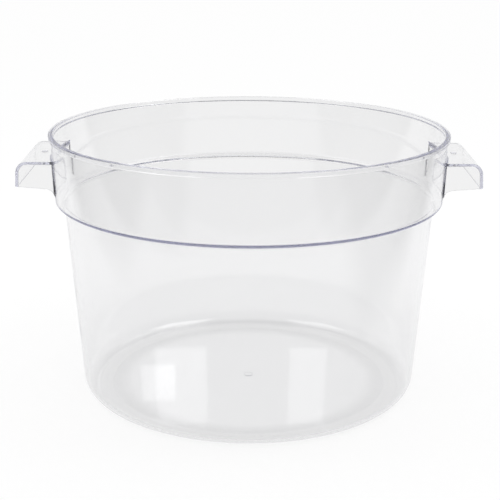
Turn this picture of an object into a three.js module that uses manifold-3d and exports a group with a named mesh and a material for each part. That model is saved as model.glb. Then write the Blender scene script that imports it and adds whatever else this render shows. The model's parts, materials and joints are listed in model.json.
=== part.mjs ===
// Clear round food storage container with two moulded lifting handles.
// Millimetres, +Z up. The origin is at the centre of the standing ring, on the surface it stands on.
// The handles lie along +X (right) and -X (left), and -Y is the front.

import * as THREE from 'three';
import { mergeVertices } from 'three/addons/utils/BufferGeometryUtils.js';
import Module from 'manifold-3d';

const wasm = await Module();
wasm.setup();

// Overall size
const containerHeight = 211;
const rimDiameter = 314;

// Floor, heel and side wall
const wallThickness = 2.2;
const wallDraft = THREE.MathUtils.degToRad(4.2);
const heelRadius = 13;
const standWidth = 9;
const floorRise = 1.2;

// Gate mark left by the mould under the middle of the floor
const gateDiameter = 7;
const gateDepth = 0.6;

// Shoulder: the ledge where the body steps out to the collar
const ledgeHeight = 158.7;
const ledgeOverhang = 7;
const ledgeCove = 2;
const ledgeCorner = 1.5;
const shoulderSkirt = 5;
const shoulderCrown = 3;

// Collar and rim
const collarDraft = THREE.MathUtils.degToRad(1.9);
const rimHeight = 3.6;
const rimOverhang = 1.8;
const rimRound = 1.5;

// Handles: a plate that bends down into a lip, with a web under each end
const handleWidth = 81;
const handleDrop = 18.7;
const handleOverhang = 22.1;
const plateThickness = 2.1;
const bendRadius = 8.8;
const lipHeight = 19.6;
const lipDraft = THREE.MathUtils.degToRad(3);
const webThickness = 2;
const webFall = 1.6;
const webFlare = 9;
const webFootRise = 1.2;
const drainDiameter = 5;

// Gap left where a handle piece follows a curved neighbour
const seamGap = 0.3;

// Fineness of the curves
const turnSteps = 72;
const arcChord = 3;
const fewestArcSteps = 3;
const curveSteps = 5;

// Radii and levels worked out from the sizes above
const rimRadius = rimDiameter / 2;
const rimBase = containerHeight - rimHeight;
const collarTopRadius = rimRadius - rimOverhang;
const collarRadius = (z) => collarTopRadius - (rimBase - z) * Math.tan(collarDraft);
const collarInset = wallThickness / Math.cos(collarDraft);
const wallTopRadius = collarRadius(ledgeHeight) - ledgeOverhang;
const wallRadius = (z) => wallTopRadius - (ledgeHeight - z) * Math.tan(wallDraft);
const wallInset = wallThickness / Math.cos(wallDraft);
const heelTop = heelRadius;
const heelCornerRadius = wallRadius(0);
const standInnerRadius = heelCornerRadius - heelRadius - standWidth;
const shoulderFoot = ledgeHeight - shoulderSkirt;
const shoulderTop = ledgeHeight + wallThickness + shoulderCrown;
const plateTop = containerHeight - handleDrop;
const plateBottom = plateTop - plateThickness;
const lipBottom = plateTop - lipHeight;
const lipReach = rimRadius + handleOverhang;
const lipShift = (z) => (z - lipBottom) * Math.tan(lipDraft);
const lipFace = (z) => lipReach - lipShift(z);
const lipInset = plateThickness / Math.cos(lipDraft);
const bendStart = lipFace(plateTop) - bendRadius;
const halfWidth = handleWidth / 2;

// Share of a side that a fillet may take, alone on the side or with another fillet on it
const filletShareAlone = 0.96;
const filletShareWithOther = 0.48;

const clearPolycarbonate = new THREE.MeshStandardMaterial({
  name: 'clear polycarbonate',
  color: 0xeceef3,
  roughness: 0.06,
  metalness: 0,
  transparent: true,
  opacity: 0.35,
});

// Outline through corners given as [across, up, fillet], with an arc at each corner that has a fillet.
function outline(corners) {
  const points = [];
  const count = corners.length;
  corners.forEach(([across, up, fillet], i) => {
    const corner = new THREE.Vector2(across, up);
    if (!fillet) {
      points.push(corner);
      return;
    }
    const sides = [corners[(i + count - 1) % count], corners[(i + 1) % count]];
    const ways = sides.map(([x, y]) => new THREE.Vector2(x, y).sub(corner));
    const rooms = ways.map((way, k) => way.length() * (sides[k][2] ? filletShareWithOther : filletShareAlone));
    const angle = Math.abs(ways[0].angleTo(ways[1]));
    const tangent = Math.min(fillet / Math.tan(angle / 2), ...rooms);
    const radius = tangent * Math.tan(angle / 2);
    const turn = Math.sign(ways[1].cross(ways[0])) * (Math.PI - angle);
    const middle = ways[0].clone().normalize().add(ways[1].clone().normalize());
    const centre = corner.clone().add(middle.setLength(radius / Math.sin(angle / 2)));
    const start = corner.clone().add(ways[0].clone().setLength(tangent));
    const steps = Math.max(fewestArcSteps, Math.ceil(radius * Math.abs(turn) / arcChord));
    for (let k = 0; k <= steps; k += 1) {
      points.push(start.clone().rotateAround(centre, turn * k / steps));
    }
  });
  return points;
}

// Ring turned about +Z from a closed section.
function turnedRing(section) {
  return new THREE.LatheGeometry([...section, section[0]], turnSteps).rotateX(Math.PI / 2);
}

// Disc turned about +Z from a section that starts and ends on the axis.
function turnedDisc(section) {
  return new THREE.LatheGeometry(section, turnSteps).rotateX(Math.PI / 2);
}

// Solid with the given outline in the XZ plane, as deep as told along Y from the front face.
function sideways(points, frontFace, depth) {
  const geometry = new THREE.ExtrudeGeometry(new THREE.Shape(points), { depth, bevelEnabled: false });
  return geometry.rotateX(Math.PI / 2).translate(0, frontFace + depth, 0);
}

// What is left of a piece after another is cut away from it.
function cutBy(piece, cutter) {
  const [body, tool] = [piece, cutter].map((geometry) => {
    geometry.deleteAttribute('normal');
    geometry.deleteAttribute('uv');
    const merged = mergeVertices(geometry);
    const vertProperties = merged.attributes.position.array;
    const triVerts = Uint32Array.from(merged.index.array);
    return new wasm.Manifold(new wasm.Mesh({ numProp: 3, vertProperties, triVerts }));
  });
  const mesh = body.subtract(tool).getMesh();
  const geometry = new THREE.BufferGeometry();
  geometry.setAttribute('position', new THREE.BufferAttribute(mesh.vertProperties, 3));
  geometry.setIndex(new THREE.BufferAttribute(mesh.triVerts, 1));
  geometry.computeVertexNormals();
  return geometry;
}

function named(name, geometry) {
  const mesh = new THREE.Mesh(geometry, clearPolycarbonate);
  mesh.name = name;
  return mesh;
}

// Floor: a panel that rises a little towards the middle, so that it stands on the ring around it.
function floorPanel() {
  const gateRadius = gateDiameter / 2;
  const bow = new THREE.QuadraticBezierCurve(
    new THREE.Vector2(gateRadius, floorRise),
    new THREE.Vector2(standInnerRadius / 2, floorRise),
    new THREE.Vector2(standInnerRadius, 0),
  );
  const under = bow.getPoints(curveSteps);
  const over = under.map((point) => new THREE.Vector2(point.x, point.y + wallThickness)).reverse();
  const middleUnder = new THREE.Vector2(0, floorRise);
  const middleOver = new THREE.Vector2(0, floorRise + wallThickness);
  return named('floor_panel', turnedDisc([middleUnder, ...under, ...over, middleOver]));
}

// Gate mark: the low round nub under the middle of the floor.
function gateMark() {
  const gateRadius = gateDiameter / 2;
  const section = [
    new THREE.Vector2(0, floorRise - gateDepth),
    new THREE.Vector2(gateRadius, floorRise - gateDepth),
    new THREE.Vector2(gateRadius, floorRise),
    new THREE.Vector2(0, floorRise),
  ];
  return named('gate_mark', turnedDisc(section));
}

// Heel: the standing ring and the rounded corner up to the wall.
function heel() {
  return named('heel', turnedRing(outline([
    [standInnerRadius, 0],
    [heelCornerRadius, 0, heelRadius],
    [wallRadius(heelTop), heelTop],
    [wallRadius(heelTop) - wallInset, heelTop],
    [wallRadius(wallThickness) - wallInset, wallThickness, heelRadius - wallThickness],
    [standInnerRadius, wallThickness],
  ])));
}

// Side wall: the tapered body.
function sideWall() {
  return named('side_wall', turnedRing(outline([
    [wallRadius(heelTop), heelTop],
    [wallRadius(shoulderFoot), shoulderFoot],
    [wallRadius(shoulderFoot) - wallInset, shoulderFoot],
    [wallRadius(heelTop) - wallInset, heelTop],
  ])));
}

// Shoulder: the step out, with a flat ledge underneath that sits on the rim of a container below.
function shoulder() {
  const ledgeTop = ledgeHeight + wallThickness;
  return named('shoulder', turnedRing(outline([
    [wallRadius(shoulderFoot), shoulderFoot],
    [wallTopRadius, ledgeHeight, ledgeCove],
    [collarRadius(ledgeHeight), ledgeHeight, ledgeCorner],
    [collarRadius(shoulderTop), shoulderTop],
    [collarRadius(shoulderTop) - collarInset, shoulderTop],
    [collarRadius(ledgeTop) - collarInset, ledgeTop, ledgeCorner],
    [wallRadius(ledgeTop) - wallInset, ledgeTop, ledgeCove + wallThickness],
    [wallRadius(shoulderFoot) - wallInset, shoulderFoot],
  ])));
}

// Collar: the wide band above the ledge.
function collar() {
  return named('collar', turnedRing(outline([
    [collarRadius(shoulderTop), shoulderTop],
    [collarTopRadius, rimBase],
    [collarTopRadius - collarInset, rimBase],
    [collarRadius(shoulderTop) - collarInset, shoulderTop],
  ])));
}

// Rim: the bead around the mouth, with a narrow flat land on top for a lid.
function rim() {
  const innerRadius = collarTopRadius - collarInset;
  return named('rim', turnedRing(outline([
    [innerRadius, rimBase],
    [rimRadius, rimBase, rimRound / 2],
    [rimRadius, containerHeight, rimRound],
    [innerRadius, containerHeight, rimRound],
  ])));
}

// Handle plate: flat, hollowed to the collar's curve, with a drain hole.
function handlePlate(side) {
  const rootRadius = collarRadius(plateTop) + seamGap;
  const rootAngle = Math.asin(halfWidth / rootRadius);
  const root = new THREE.EllipseCurve(0, 0, rootRadius, rootRadius, -rootAngle, rootAngle);
  const edge = root.getPoints(2 * curveSteps);
  edge.push(new THREE.Vector2(bendStart, halfWidth), new THREE.Vector2(bendStart, -halfWidth));
  const plate = new THREE.Shape(edge.map(({ x, y }) => new THREE.Vector2(side * x, y)));
  const drain = new THREE.Path();
  drain.absarc(side * (rootRadius + bendStart) / 2, 0, drainDiameter / 2, 0, 2 * Math.PI);
  plate.holes.push(new THREE.Path(drain.getPoints(curveSteps)));
  return new THREE.ExtrudeGeometry(plate, { depth: plateThickness, bevelEnabled: false })
    .translate(0, 0, plateBottom);
}

// Handle lip: the bend at the plate's outer edge and the grip that hangs from it.
function handleLip(side) {
  const points = outline([
    [bendStart, plateBottom],
    [lipFace(plateBottom) - lipInset, plateBottom, bendRadius - plateThickness],
    [lipReach - lipInset, lipBottom, plateThickness / 2],
    [lipReach, lipBottom, plateThickness / 2],
    [lipFace(plateTop), plateTop, bendRadius],
    [bendStart, plateTop],
  ]);
  return sideways(points.map(({ x, y }) => new THREE.Vector2(side * x, y)), -halfWidth, handleWidth);
}

// Handle web: the wall under one end of the plate, which runs down the collar in a curved foot.
function handleWeb(side, frontFace) {
  const footHeight = ledgeHeight + webFootRise;
  const footRoot = Math.sqrt(collarRadius(footHeight) ** 2 - halfWidth ** 2);
  const insideCollar = footRoot - wallThickness - ledgeOverhang;
  const bottom = lipBottom - webFall;
  const foot = new THREE.QuadraticBezierCurve(
    new THREE.Vector2(footRoot + seamGap, footHeight),
    new THREE.Vector2(footRoot + 2 * seamGap, bottom),
    new THREE.Vector2(footRoot + webFlare, bottom),
  );
  const lipSide = outline([
    [lipReach - lipInset - seamGap, lipBottom],
    [lipFace(plateBottom) - lipInset - seamGap, plateBottom, bendRadius - plateThickness],
    [insideCollar, plateBottom],
  ]);
  const points = [new THREE.Vector2(insideCollar, footHeight), ...foot.getPoints(curveSteps), ...lipSide];
  const web = sideways(points.map(({ x, y }) => new THREE.Vector2(side * x, y)), frontFace, webThickness);
  const collarCutter = turnedRing(outline([
    [insideCollar - halfWidth, shoulderFoot],
    [collarRadius(shoulderFoot) + seamGap, shoulderFoot],
    [collarRadius(rimBase) + seamGap, rimBase],
    [insideCollar - halfWidth, rimBase],
  ]));
  return cutBy(web, collarCutter);
}

function handle(name, side) {
  const group = new THREE.Group();
  group.add(named(`${name}_plate`, handlePlate(side)));
  group.add(named(`${name}_lip`, handleLip(side)));
  group.add(named(`${name}_front_web`, handleWeb(side, -halfWidth)));
  group.add(named(`${name}_rear_web`, handleWeb(side, halfWidth - webThickness)));
  return group;
}

const container = new THREE.Group();
container.name = 'round_food_storage_container';
container.add(floorPanel(), gateMark(), heel(), sideWall(), shoulder(), collar(), rim());
container.add(handle('left_handle', -1), handle('right_handle', 1));

export default container;
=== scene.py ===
"""Looks of a clear round food storage tub with two moulded handles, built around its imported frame."""

import json
import math

import bpy
from mathutils import Matrix, Vector

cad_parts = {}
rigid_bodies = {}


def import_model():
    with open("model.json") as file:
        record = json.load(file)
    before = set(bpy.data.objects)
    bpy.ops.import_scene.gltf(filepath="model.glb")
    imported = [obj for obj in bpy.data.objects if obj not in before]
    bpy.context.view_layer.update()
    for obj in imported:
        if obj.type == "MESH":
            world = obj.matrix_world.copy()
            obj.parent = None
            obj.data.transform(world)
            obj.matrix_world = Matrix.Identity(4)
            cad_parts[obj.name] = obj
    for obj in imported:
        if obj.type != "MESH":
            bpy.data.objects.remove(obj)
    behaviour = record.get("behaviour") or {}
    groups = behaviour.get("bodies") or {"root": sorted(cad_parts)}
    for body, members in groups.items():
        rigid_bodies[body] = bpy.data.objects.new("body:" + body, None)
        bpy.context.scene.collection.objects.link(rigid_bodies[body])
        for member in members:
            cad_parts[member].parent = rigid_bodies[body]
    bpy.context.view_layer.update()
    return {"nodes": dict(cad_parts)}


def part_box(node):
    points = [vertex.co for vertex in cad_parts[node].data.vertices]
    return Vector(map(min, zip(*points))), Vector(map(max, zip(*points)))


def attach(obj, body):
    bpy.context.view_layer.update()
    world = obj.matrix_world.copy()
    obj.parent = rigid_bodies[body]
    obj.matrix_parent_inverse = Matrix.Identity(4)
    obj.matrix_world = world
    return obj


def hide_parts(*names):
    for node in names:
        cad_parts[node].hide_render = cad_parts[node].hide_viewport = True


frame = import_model()

# Sizes of the tub that the frame's boxes don't give, in metres
WALL_THICKNESS = 0.0022
WALL_DRAFT = math.radians(4.2)
COLLAR_DRAFT = math.radians(1.9)
HEEL_RADIUS = 0.013
GATE_EDGE = 0.0002
RIM_ROUND = 0.0011
RIM_BROW = 0.0008
RIM_UNDERCUT = 0.00085

# Sizes of the shoulder, whose ledge falls from the collar in to the wall with an even thickness
SHOULDER_SKIRT = 0.0047
LEDGE_THICKNESS = 0.0018
LEDGE_FALL = 0.0022
LEDGE_COVE = 0.0015
LEDGE_BROW = LEDGE_COVE + LEDGE_THICKNESS
LEDGE_CORNER = 0.0025
LEDGE_FOOT = 0.001

# Sizes of a handle
LIP_DRAFT = math.radians(3)
LIP_TIP = 0.0011
BEND_RADIUS = 0.0088
WEB_THICKNESS = 0.002
WEB_FALL = 0.0016
WEB_FLARE = 0.009
DRAIN_DIAMETER = 0.005
HANDLE_EDGE = 0.0006
ROOT_FILLET = 0.0015

# How far a handle is first drawn in past the collar's wall, and how far below the webs its root is cut
ROOT_DEPTH = 0.007
ROOT_CUT = 0.013

# Fineness of the meshes
TURN_STEPS = 240
ARC_STEP = math.radians(7.5)
BOW_STEPS = 8
FOOT_STEPS = 10
DRAIN_STEPS = 32
EDGE_STEPS = 3
FILLET_STEPS = 4
HOLD = 0.0005
SHORT_RUN = 4 * HOLD

# How close points and directions have to be to count as the same
WELD = 0.000005
ROOT_REACH = 0.0002
FACING = 0.9
SHARP_ANGLE = math.radians(32)

# Levels and radii read from the frame
rim_low, rim_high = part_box("rim")
_, collar_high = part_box("collar")
_, wall_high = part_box("side_wall")
_, floor_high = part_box("floor_panel")
gate_low, gate_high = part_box("gate_mark")
plate_low, plate_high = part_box("right_handle_plate")
lip_low, lip_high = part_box("right_handle_lip")
web_low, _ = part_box("right_handle_front_web")

ledge_height = wall_high.z + SHOULDER_SKIRT
ledge_top = ledge_height + LEDGE_THICKNESS
floor_rise = floor_high.z - WALL_THICKNESS
collar_inset = WALL_THICKNESS / math.cos(COLLAR_DRAFT)
wall_inset = WALL_THICKNESS / math.cos(WALL_DRAFT)


def collar_radius(height):
    """Outer radius of the collar at a height."""
    return collar_high.x - (rim_low.z - height) * math.tan(COLLAR_DRAFT)


def wall_radius(height):
    """Outer radius of the side wall at a height."""
    return wall_high.x - (wall_high.z - height) * math.tan(WALL_DRAFT)


def lip_face(height):
    """How far the lip's outer face reaches at a height."""
    return lip_high.x - (height - lip_low.z) * math.tan(LIP_DRAFT)


# Outlines

def held(start, end):
    """Points just inside both ends of a long straight run, which keep its shading flat."""
    run = end - start
    if run.length < SHORT_RUN:
        return []
    return [start + run.normalized() * HOLD, end - run.normalized() * HOLD]


def rounded(corners):
    """Points of an open line through (across, up, radius) corners, each with a radius turned as an arc."""
    points = []
    for index, (across, up, radius) in enumerate(corners):
        corner = Vector((across, up))
        arc = [corner]
        if radius:
            before = (Vector(corners[index - 1][:2]) - corner).normalized()
            after = (Vector(corners[index + 1][:2]) - corner).normalized()
            opening = before.angle(after)
            centre = corner + (before + after).normalized() * radius / math.sin(opening / 2)
            spoke = corner + before * radius / math.tan(opening / 2) - centre
            turn = math.copysign(math.pi - opening, before.x * after.y - before.y * after.x)
            steps = max(2, math.ceil(abs(turn) / ARC_STEP))
            arc = [centre + Matrix.Rotation(-turn * k / steps, 2) @ spoke for k in range(steps + 1)]
        if points:
            points.extend(held(points[-1], arc[0]))
        points.extend(arc)
    return points


def floor_bow(radius, base):
    """Height of the bowed floor's surface at a radius, above a base level."""
    return base + floor_rise * (1 - (radius / floor_high.x) ** 2)


def bow_points(base):
    """Points of the bowed floor's surface, from near the gate mark out to the standing ring."""
    start = gate_high.x * 2
    step = (floor_high.x - start) / BOW_STEPS
    return [Vector((start + k * step, floor_bow(start + k * step, base))) for k in range(BOW_STEPS + 1)]


def tub_section():
    """Half section of the tub, from the axis under the floor, up the outside, over the rim and down the
    inside to the axis again."""
    gate = rounded([
        (0, gate_low.z, 0),
        (gate_high.x, gate_low.z, GATE_EDGE),
        (gate_high.x, floor_bow(gate_high.x, 0), 0),
    ])
    rim_inner = collar_high.x - collar_inset
    ledge_under = ledge_height - LEDGE_FALL
    ledge_over = ledge_top - LEDGE_FALL
    shell = rounded([
        (floor_high.x, 0, 0),
        (wall_radius(0), 0, HEEL_RADIUS),
        (wall_radius(ledge_under), ledge_under, LEDGE_COVE),
        (collar_radius(ledge_height), ledge_height, LEDGE_CORNER),
        (collar_high.x, rim_low.z, RIM_UNDERCUT),
        (rim_high.x, rim_low.z, RIM_UNDERCUT),
        (rim_high.x, rim_high.z, RIM_ROUND),
        (rim_inner, rim_high.z, RIM_BROW),
        (collar_radius(ledge_top) - collar_inset, ledge_top, LEDGE_FOOT),
        (wall_radius(ledge_over) - wall_inset, ledge_over, LEDGE_BROW),
        (wall_radius(WALL_THICKNESS) - wall_inset, WALL_THICKNESS, HEEL_RADIUS - WALL_THICKNESS),
        (floor_high.x, WALL_THICKNESS, 0),
    ])
    under = bow_points(0)[:-1]
    over = bow_points(WALL_THICKNESS)[-2::-1]
    return gate + under + shell + over + [Vector((0, floor_high.z))]


def handle_outlines():
    """Lines of a handle on the +X side: over the strip that is bent into plate and lip, under that strip,
    and along the lower edge of a web."""
    thickness = plate_high.z - plate_low.z
    lip_inset = thickness / math.cos(LIP_DRAFT)
    foot_radius = collar_radius(web_low.z)
    inside = foot_radius * math.cos(math.asin(plate_high.y / foot_radius))
    hidden = inside - WALL_THICKNESS - ROOT_DEPTH
    tip = Vector((lip_high.x - lip_inset, lip_low.z))
    over = rounded([
        (hidden, plate_high.z, 0),
        (lip_face(plate_high.z), plate_high.z, BEND_RADIUS),
        (lip_high.x, lip_low.z, LIP_TIP),
        (tip.x, tip.y, 0),
    ])
    under = rounded([
        (tip.x, tip.y, 0),
        (lip_face(plate_low.z) - lip_inset, plate_low.z, BEND_RADIUS - thickness),
        (hidden, plate_low.z, 0),
    ])
    bottom = lip_low.z - WEB_FALL
    flare = Vector((inside + WEB_FLARE, bottom))
    bend = Vector((inside, bottom))
    foot = Vector((inside, web_low.z))
    web = [tip]
    for k in range(FOOT_STEPS + 1):
        t = k / FOOT_STEPS
        web.append(flare * (1 - t) ** 2 + bend * 2 * t * (1 - t) + foot * t ** 2)
    web.append(Vector((hidden, web_low.z)))
    return over, under, web


def mean_height(points):
    """Mean height of an outline's points."""
    return sum(point.y for point in points) / len(points)


def upright(points, depth=0.0):
    """Outline points stood up in the plane of X and Z, at a depth along Y."""
    return [Vector((point.x, depth, point.y)) for point in points]


# Modelling by hand

def begin_mesh(name):
    """A new empty mesh object, open in edit mode."""
    bpy.ops.object.select_all(action="DESELECT")
    bpy.ops.mesh.primitive_plane_add(enter_editmode=True)
    bpy.ops.mesh.delete(type="VERT")
    piece = bpy.context.object
    piece.name = name
    piece.data.name = name
    return piece


def draw_line(points, closed=False):
    """Draws a line through points by extruding one vertex from each to the next, and may fill it."""
    bpy.ops.mesh.select_all(action="DESELECT")
    bpy.ops.mesh.primitive_plane_add(size=HOLD)
    bpy.ops.mesh.merge(type="CENTER")
    bpy.ops.transform.translate(value=points[0])
    for start, end in zip(points, points[1:]):
        bpy.ops.mesh.extrude_vertices_move(TRANSFORM_OT_translate={"value": end - start})
    bpy.ops.mesh.select_linked()
    if closed:
        bpy.ops.mesh.edge_face_add()


def end_mesh():
    """Welds the mesh, turns its faces outwards and leaves edit mode."""
    bpy.ops.mesh.select_all(action="SELECT")
    bpy.ops.mesh.remove_doubles(threshold=WELD)
    bpy.ops.mesh.normals_make_consistent(inside=False)
    bpy.ops.object.mode_set(mode="OBJECT")


def work_on(piece):
    """Makes one piece the only selected and the active one."""
    bpy.ops.object.select_all(action="DESELECT")
    piece.select_set(True)
    bpy.context.view_layer.objects.active = piece


def select_faces(piece, chosen):
    """Selects the faces of a piece in edit mode whose normal and centre the test accepts."""
    bpy.ops.mesh.select_all(action="DESELECT")
    bpy.ops.object.mode_set(mode="OBJECT")
    for face in piece.data.polygons:
        face.select = chosen(face.normal, face.center)
    bpy.ops.object.mode_set(mode="EDIT")


def apply_modifier(piece, kind, **settings):
    """Adds a modifier to a piece and applies it."""
    work_on(piece)
    modifier = piece.modifiers.new(kind.title(), kind)
    for name, value in settings.items():
        setattr(modifier, name, value)
    bpy.ops.object.modifier_apply(modifier=modifier.name)


def combine(piece, other, operation):
    """Joins another piece to this one, or cuts it away, and removes the other."""
    apply_modifier(piece, "BOOLEAN", object=other, operation=operation, solver="EXACT")
    bpy.data.objects.remove(other)


# Tub and handles

def spin_tub():
    """The tub: floor, heel, wall, shoulder, collar and rim in one skin, turned about Z."""
    tub = begin_mesh("tub")
    draw_line(upright(tub_section()))
    bpy.ops.mesh.spin(steps=TURN_STEPS, angle=2 * math.pi, center=(0, 0, 0), axis=(0, 0, 1))
    end_mesh()
    return tub


def bend_handle():
    """One handle on the +X side: half of it is drawn and extruded, then it is mirrored, edged, drilled and
    cut to the collar."""
    over, under, web = handle_outlines()
    strip = over + under[1:]
    panel = web + under[:0:-1]
    half_width = plate_high.y
    web_middle = WEB_THICKNESS / 2 - half_width
    split = (mean_height(strip) + mean_height(panel)) / 2

    def ends_strip(normal, centre):
        """Whether a face is the strip's end on the inner side of the web."""
        return abs(normal.y) > FACING and centre.y > web_middle and centre.z > split

    handle = begin_mesh("handle")
    draw_line(upright(strip, -half_width), closed=True)
    draw_line(upright(panel, -half_width), closed=True)
    bpy.ops.mesh.select_all(action="SELECT")
    bpy.ops.mesh.remove_doubles(threshold=WELD)
    bpy.ops.mesh.extrude_region_move(TRANSFORM_OT_translate={"value": (0, WEB_THICKNESS, 0)})
    select_faces(handle, ends_strip)
    bpy.ops.mesh.extrude_region_move(TRANSFORM_OT_translate={"value": (0, half_width - WEB_THICKNESS, 0)})
    bpy.ops.mesh.delete(type="FACE")
    end_mesh()
    apply_modifier(handle, "MIRROR", use_axis=(False, True, False), merge_threshold=WELD)
    apply_modifier(
        handle, "BEVEL", width=HANDLE_EDGE, segments=EDGE_STEPS,
        limit_method="ANGLE", angle_limit=SHARP_ANGLE)
    drill_drain(handle)
    hollow_root(handle)
    return handle


def drill_drain(handle):
    """The small drain hole through the middle of the handle's plate."""
    across = (collar_radius(plate_high.z) + plate_high.x) / 2
    middle = (plate_low.z + plate_high.z) / 2
    drill_length = 4 * WALL_THICKNESS
    bpy.ops.object.select_all(action="DESELECT")
    bpy.ops.mesh.primitive_cylinder_add(
        vertices=DRAIN_STEPS, radius=DRAIN_DIAMETER / 2, depth=drill_length, location=(across, 0, middle))
    combine(handle, bpy.context.object, "DIFFERENCE")


def hollow_root(handle):
    """Cuts the handle's root to a cone that runs inside the collar's wall, so that the handle joins the
    collar alone."""
    low = web_low.z - ROOT_CUT
    high = rim_high.z
    within = WALL_THICKNESS / 2
    bpy.ops.object.select_all(action="DESELECT")
    bpy.ops.mesh.primitive_cone_add(
        vertices=TURN_STEPS, radius1=collar_radius(low) - within, radius2=collar_radius(high) - within,
        depth=high - low, location=(0, 0, (low + high) / 2))
    combine(handle, bpy.context.object, "DIFFERENCE")


def mirrored(handle):
    """The handle's copy on the -X side."""
    work_on(handle)
    bpy.ops.object.duplicate()
    copy = bpy.context.object
    bpy.ops.object.mode_set(mode="EDIT")
    bpy.ops.mesh.select_all(action="SELECT")
    bpy.ops.transform.resize(value=(-1, 1, 1), center_override=(0, 0, 0))
    bpy.ops.mesh.normals_make_consistent(inside=False)
    bpy.ops.object.mode_set(mode="OBJECT")
    return copy


def on_root(point):
    """Whether a point lies on the collar's outer face where a handle grows out of it."""
    on_collar = abs(math.hypot(point.x, point.y) - collar_radius(point.z)) < ROOT_REACH
    in_width = abs(point.y) < plate_high.y + ROOT_REACH
    in_height = web_low.z < point.z < plate_high.z + ROOT_REACH
    return on_collar and in_width and in_height


def fillet_roots(tub):
    """Rounds the inner corners where the handles grow out of the collar."""
    work_on(tub)
    bpy.ops.object.mode_set(mode="EDIT")
    bpy.context.tool_settings.mesh_select_mode = (False, True, False)
    bpy.ops.mesh.select_all(action="DESELECT")
    bpy.ops.mesh.edges_select_sharp(sharpness=SHARP_ANGLE)
    bpy.ops.object.mode_set(mode="OBJECT")
    rooted = [on_root(vertex.co) for vertex in tub.data.vertices]
    for edge in tub.data.edges:
        edge.select = edge.select and all(rooted[index] for index in edge.vertices)
    bpy.ops.object.mode_set(mode="EDIT")
    bpy.ops.mesh.bevel(offset=ROOT_FILLET, segments=FILLET_STEPS, affect="EDGES", clamp_overlap=False)
    bpy.context.tool_settings.mesh_select_mode = (True, False, False)
    bpy.ops.object.mode_set(mode="OBJECT")


def dress_tub():
    """Joins the tub and its handles in one skin, as they are moulded, and gives it its finish."""
    tub = spin_tub()
    right = bend_handle()
    left = mirrored(right)
    combine(tub, right, "UNION")
    combine(tub, left, "UNION")
    fillet_roots(tub)
    work_on(tub)
    bpy.ops.object.shade_smooth_by_angle(angle=SHARP_ANGLE)
    apply_modifier(tub, "WEIGHTED_NORMAL", keep_sharp=True)
    tub.data.materials.clear()
    tub.data.materials.append(clear_polycarbonate())
    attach(tub, "root")
    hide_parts(*frame["nodes"])


# Materials

def linear(hex_colour):
    """An sRGB hex colour as linear RGBA."""
    channels = [int(hex_colour[k:k + 2], 16) / 255 for k in (1, 3, 5)]
    return [c / 12.92 if c <= 0.04045 else ((c + 0.055) / 1.055) ** 2.4 for c in channels] + [1.0]


def add(tree, kind, inputs=None, **settings):
    """Adds a node with its settings, and sets or links its inputs."""
    node = tree.nodes.new(kind)
    for name, value in settings.items():
        setattr(node, name, value)
    for socket, value in (inputs or {}).items():
        if isinstance(value, bpy.types.NodeSocket):
            tree.links.new(value, node.inputs[socket])
        else:
            node.inputs[socket].default_value = value
    return node


def new_material(name):
    """A material with an empty node tree."""
    material = bpy.data.materials.new(name)
    material.use_nodes = True
    material.node_tree.nodes.clear()
    return material


def clear_polycarbonate():
    """Moulded clear polycarbonate: glassy and bright, with a violet cast where light runs far inside it,
    and the faint waviness and haze that a large mould leaves in a thin wall."""
    wave_length = 0.022
    wave_depth = 0.00003
    haze_patch = 0.006
    haze_low = 0.3
    haze_high = 0.7
    smoothest = 0.015
    haziest = 0.045
    refraction = 1.585
    tint_per_metre = 5.5
    material = new_material("clear_moulded_polycarbonate")
    tree = material.node_tree
    place = add(tree, "ShaderNodeTexCoord").outputs["Object"]
    waves = add(tree, "ShaderNodeTexNoise", {"Vector": place, "Scale": 1 / wave_length, "Detail": 1.0})
    haze = add(tree, "ShaderNodeTexNoise", {"Vector": place, "Scale": 1 / haze_patch, "Detail": 3.0})
    rough = add(tree, "ShaderNodeMapRange", {
        "Value": haze.outputs["Fac"],
        "From Min": haze_low,
        "From Max": haze_high,
        "To Min": smoothest,
        "To Max": haziest,
    })
    bump = add(tree, "ShaderNodeBump", {
        "Height": waves.outputs["Fac"], "Strength": 1.0, "Distance": wave_depth})
    surface = add(tree, "ShaderNodeBsdfPrincipled", {
        "Base Color": linear("#FEFEFE"),
        "Roughness": rough.outputs["Result"],
        "IOR": refraction,
        "Transmission Weight": 1.0,
        "Normal": bump.outputs["Normal"],
    })
    depth = add(tree, "ShaderNodeVolumeAbsorption", {"Color": linear("#8A8DC0"), "Density": tint_per_metre})
    add(tree, "ShaderNodeOutputMaterial", {
        "Surface": surface.outputs["BSDF"], "Volume": depth.outputs["Volume"]})
    return material


# Studio

# Places on the floor, in metres: where its tone changes towards the back, front and sides, and where painted
# shade darkens a ring under the heel
FLOOR_SPAN = 14.0
BACK_START = -0.1
BACK_END = 0.2
TABLE_EDGE = -0.18
ROOM_EDGE = -0.50
EDGE_BLUR = 0.02
SIDE_EDGE = 0.34
SIDE_BLUR = 0.08
SIDE_MIDDLE = -0.15
SIDE_SHIFT = 0.05
SIDE_FLARE = 0.8
# Middle radius and reach of the ring of painted shade under the heel
PAINTED_SHADE_RADIUS = 0.118
PAINTED_SHADE_REACH = 0.022

# Sockets of a Mix node for colours, whose names are shared with its other kinds
MIX_FACTOR = 0
MIX_FIRST = 6
MIX_SECOND = 7
MIX_RESULT = 2


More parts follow.
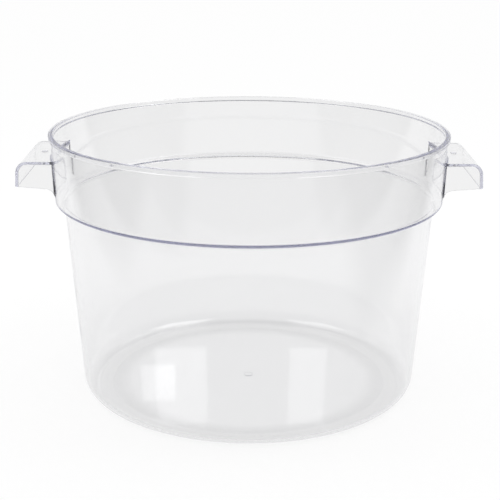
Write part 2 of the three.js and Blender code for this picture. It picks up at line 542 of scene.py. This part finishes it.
def floor_side(tree, axes):
    """Share of the floor's tone that the tub mirrors: less in a wedge at each side."""
    side_share = 0.30
    across = add(tree, "ShaderNodeMath", {0: axes.outputs["X"], 1: SIDE_SHIFT}, operation="ADD")
    away = add(tree, "ShaderNodeMath", {0: across.outputs["Value"]}, operation="ABSOLUTE")
    past = add(tree, "ShaderNodeMath", {0: axes.outputs["Y"], 1: SIDE_MIDDLE}, operation="SUBTRACT")
    along = add(tree, "ShaderNodeMath", {0: past.outputs["Value"]}, operation="ABSOLUTE")
    aside = add(tree, "ShaderNodeMath", {
        0: along.outputs["Value"], 1: -SIDE_FLARE, 2: away.outputs["Value"]}, operation="MULTIPLY_ADD")
    side = add(tree, "ShaderNodeMapRange", {
        "Value": aside.outputs["Value"],
        "From Min": SIDE_EDGE - SIDE_BLUR,
        "From Max": SIDE_EDGE + SIDE_BLUR,
        "To Min": 1.0,
        "To Max": side_share,
    })
    return side.outputs["Result"]


def floor_in_mirror(tree, place):
    """Tone of the floor as the tub mirrors it: dimmer in steps towards the front, and at both sides."""
    far_level = 0.95
    near_level = 0.88
    front_level = 0.80
    room_level = 0.55
    axes = add(tree, "ShaderNodeSeparateXYZ", {"Vector": place})
    behind = add(tree, "ShaderNodeMapRange", {
        "Value": axes.outputs["Y"],
        "From Min": BACK_START,
        "From Max": BACK_END,
        "To Min": near_level,
        "To Max": far_level,
    })
    table = add(tree, "ShaderNodeMapRange", {
        "Value": axes.outputs["Y"],
        "From Min": TABLE_EDGE - EDGE_BLUR,
        "From Max": TABLE_EDGE + EDGE_BLUR,
        "To Min": front_level / near_level,
        "To Max": 1.0,
    })
    room = add(tree, "ShaderNodeMapRange", {
        "Value": axes.outputs["Y"],
        "From Min": ROOM_EDGE - EDGE_BLUR,
        "From Max": ROOM_EDGE + EDGE_BLUR,
        "To Min": room_level / front_level,
        "To Max": 1.0,
    })
    front = add(tree, "ShaderNodeMath", {
        0: table.outputs["Result"], 1: room.outputs["Result"]}, operation="MULTIPLY")
    whole = add(tree, "ShaderNodeMath", {
        0: behind.outputs["Result"], 1: front.outputs["Value"]}, operation="MULTIPLY")
    tone = add(tree, "ShaderNodeMath", {
        0: whole.outputs["Value"], 1: floor_side(tree, axes)}, operation="MULTIPLY")
    return tone.outputs["Value"]


def floor_through_tub(tree, place):
    """Tone of the floor as it is seen through the tub: a little dimmer all over, with painted shade in a ring
    under the heel that stands in for the tub's contact shadow.
    """
    through_level = 0.93
    painted_shade_share = 0.86
    reach = add(tree, "ShaderNodeVectorMath", {0: place}, operation="LENGTH")
    beside = add(tree, "ShaderNodeMath", {0: reach.outputs["Value"], 1: PAINTED_SHADE_RADIUS}, operation="SUBTRACT")
    near = add(tree, "ShaderNodeMath", {0: beside.outputs["Value"]}, operation="ABSOLUTE")
    # Painted shade: the floor seen through the tub is darkened in a ring about the standing ring's radius
    painted_shade = add(tree, "ShaderNodeMapRange", {
        "Value": near.outputs["Value"],
        "From Min": PAINTED_SHADE_REACH / 2,
        "From Max": PAINTED_SHADE_REACH,
        "To Min": through_level * painted_shade_share,
        "To Max": through_level,
    })
    return painted_shade.outputs["Result"]


def matt_white():
    """Matt white of the studio floor, which glows in part, so that it is white and still keeps a shadow."""
    glow_share = 0.85
    material = new_material("pale_studio_floor")
    tree = material.node_tree
    place = add(tree, "ShaderNodeTexCoord").outputs["Object"]
    path = add(tree, "ShaderNodeLightPath")
    straight = add(tree, "ShaderNodeMath", {0: path.outputs["Glossy Depth"], 1: 1.0}, operation="LESS_THAN")
    shown = add(tree, "ShaderNodeMapRange", {
        "Value": path.outputs["Is Camera Ray"], "To Min": floor_through_tub(tree, place), "To Max": 1.0})
    level = add(tree, "ShaderNodeMix", {
        "Factor": straight.outputs["Value"],
        "A": floor_in_mirror(tree, place),
        "B": shown.outputs["Result"],
    }, data_type="FLOAT")
    matt = add(tree, "ShaderNodeBsdfDiffuse", {"Color": level.outputs["Result"]})
    glow = add(tree, "ShaderNodeEmission", {
        "Color": linear("#FFFFFF"), "Strength": level.outputs["Result"]})
    mixed = add(tree, "ShaderNodeMixShader", {
        0: glow_share, 1: matt.outputs["BSDF"], 2: glow.outputs["Emission"]})
    add(tree, "ShaderNodeOutputMaterial", {"Surface": mixed.outputs["Shader"]})
    return material


def pale_floor():
    """White studio floor, with painted shade in a ring under the tub's heel."""
    bpy.ops.object.select_all(action="DESELECT")
    bpy.ops.mesh.primitive_plane_add(size=FLOOR_SPAN)
    floor = bpy.context.object
    floor.name = "studio_floor"
    floor.data.materials.append(matt_white())


def studio_world():
    """Studio around the tub: a white sweep behind it, with a grey ceiling and a dim room in front that only
    the tub shows. The floor gets even light, and the camera sees plain white."""
    # Where the tones fade: the ceiling's by how far up a direction points, the others by how far back
    ceiling_start = 0.62
    ceiling_end = 0.80
    sweep_start = 0.0
    sweep_end = 0.9
    room_end = -0.7
    overhead_start = -0.3
    sweep_turn = math.radians(-4)
    world = bpy.data.worlds.new("studio")
    bpy.context.scene.world = world
    world.use_nodes = True
    world.cycles.sampling_method = "NONE"
    tree = world.node_tree
    tree.nodes.clear()
    direction = add(tree, "ShaderNodeTexCoord").outputs["Generated"]
    turned = add(tree, "ShaderNodeMapping", {"Vector": direction, "Rotation": (0, 0, sweep_turn)})
    axes = add(tree, "ShaderNodeSeparateXYZ", {"Vector": turned.outputs["Vector"]})
    low = add(tree, "ShaderNodeMapRange", {
        "Value": axes.outputs["Z"],
        "From Min": ceiling_start,
        "From Max": ceiling_end,
        "To Min": 1.0,
        "To Max": 0.0,
    })
    behind = add(tree, "ShaderNodeMapRange", {
        "Value": axes.outputs["Y"], "From Min": sweep_start, "From Max": sweep_end})
    sweep = add(tree, "ShaderNodeMath", {
        0: low.outputs["Result"], 1: behind.outputs["Result"]}, operation="MULTIPLY")
    path = add(tree, "ShaderNodeLightPath")
    white = add(tree, "ShaderNodeMath", {
        0: sweep.outputs["Value"], 1: path.outputs["Diffuse Depth"]}, operation="MAXIMUM")
    overhead = add(tree, "ShaderNodeMapRange", {
        "Value": axes.outputs["Y"], "From Min": room_end, "From Max": overhead_start})
    dim = add(tree, "ShaderNodeMix", {
        MIX_FACTOR: overhead.outputs["Result"],
        MIX_FIRST: linear("#38393F"),
        MIX_SECOND: linear("#54555E"),
    }, data_type="RGBA")
    lit = add(tree, "ShaderNodeMix", {
        MIX_FACTOR: white.outputs["Value"],
        MIX_FIRST: dim.outputs[MIX_RESULT],
        MIX_SECOND: linear("#F5F5F5"),
    }, data_type="RGBA")
    seen = add(tree, "ShaderNodeMix", {
        MIX_FACTOR: path.outputs["Is Camera Ray"],
        MIX_FIRST: lit.outputs[MIX_RESULT],
        MIX_SECOND: linear("#FFFFFF"),
    }, data_type="RGBA")
    back = add(tree, "ShaderNodeBackground", {"Color": seen.outputs[MIX_RESULT]})
    add(tree, "ShaderNodeOutputWorld", {"Surface": back.outputs["Background"]})


def softbox(name, place, target, width, height, radiance):
    """A rectangular softbox whose face has the given brightness."""
    lamp = bpy.data.lights.new(name, "AREA")
    lamp.shape = "RECTANGLE"
    lamp.size = width
    lamp.size_y = height
    lamp.energy = radiance * math.pi * width * height
    holder = bpy.data.objects.new(name, lamp)
    bpy.context.scene.collection.objects.link(holder)
    holder.location = place
    holder.rotation_euler = (Vector(target) - Vector(place)).to_track_quat("-Z", "Y").to_euler()


def studio_lights():
    """Two strips and a small panel behind the tub, and a softbox overhead at each side."""
    middle = (0, 0, 0.12)
    softbox("left_strip", (-0.135, 1.0, 0.46), (-0.135, 0, 0.46), width=0.105, height=0.22, radiance=0.40)
    softbox("left_panel", (-0.18, 0.98, 0.44), (-0.18, 0, 0.44), width=0.07, height=0.1, radiance=0.50)
    softbox("right_strip", (0.118, 1.0, 0.46), (0.118, 0, 0.46), width=0.074, height=0.22, radiance=0.36)
    softbox("left_softbox", (-0.75, 0, 1.3), middle, width=0.6, height=0.8, radiance=1.2)
    softbox("right_softbox", (0.75, 0, 1.3), middle, width=0.6, height=0.8, radiance=1.8)


def photo_camera():
    """The camera where the photograph was taken from, for a square picture."""
    place = (0, -0.907, 0.3856)
    pitch = math.radians(16.841)
    yaw = math.radians(0.058)
    roll = math.radians(0.269)
    sensor_millimetres = 36
    lens_millimetres = 83.87
    lens = bpy.data.cameras.new("photo_camera")
    lens.sensor_width = sensor_millimetres
    lens.lens = lens_millimetres
    camera = bpy.data.objects.new("photo_camera", lens)
    bpy.context.scene.collection.objects.link(camera)
    camera.location = place
    aim = Matrix.Rotation(-yaw, 3, "Z") @ Matrix.Rotation(math.pi / 2 - pitch, 3, "X")
    camera.rotation_euler = (aim @ Matrix.Rotation(roll, 3, "Z")).to_euler()
    bpy.context.scene.camera = camera


def long_light_paths():
    """Lets light run far inside the clear plastic before it is given up as black."""
    turns_inside = 128
    faces_crossed = 48
    cycles = bpy.context.scene.cycles
    cycles.max_bounces = turns_inside
    cycles.glossy_bounces = turns_inside
    cycles.transmission_bounces = faces_crossed


bpy.context.scene.view_settings.view_transform = "Standard"
long_light_paths()
photo_camera()
studio_world()
studio_lights()
pale_floor()
dress_tub()
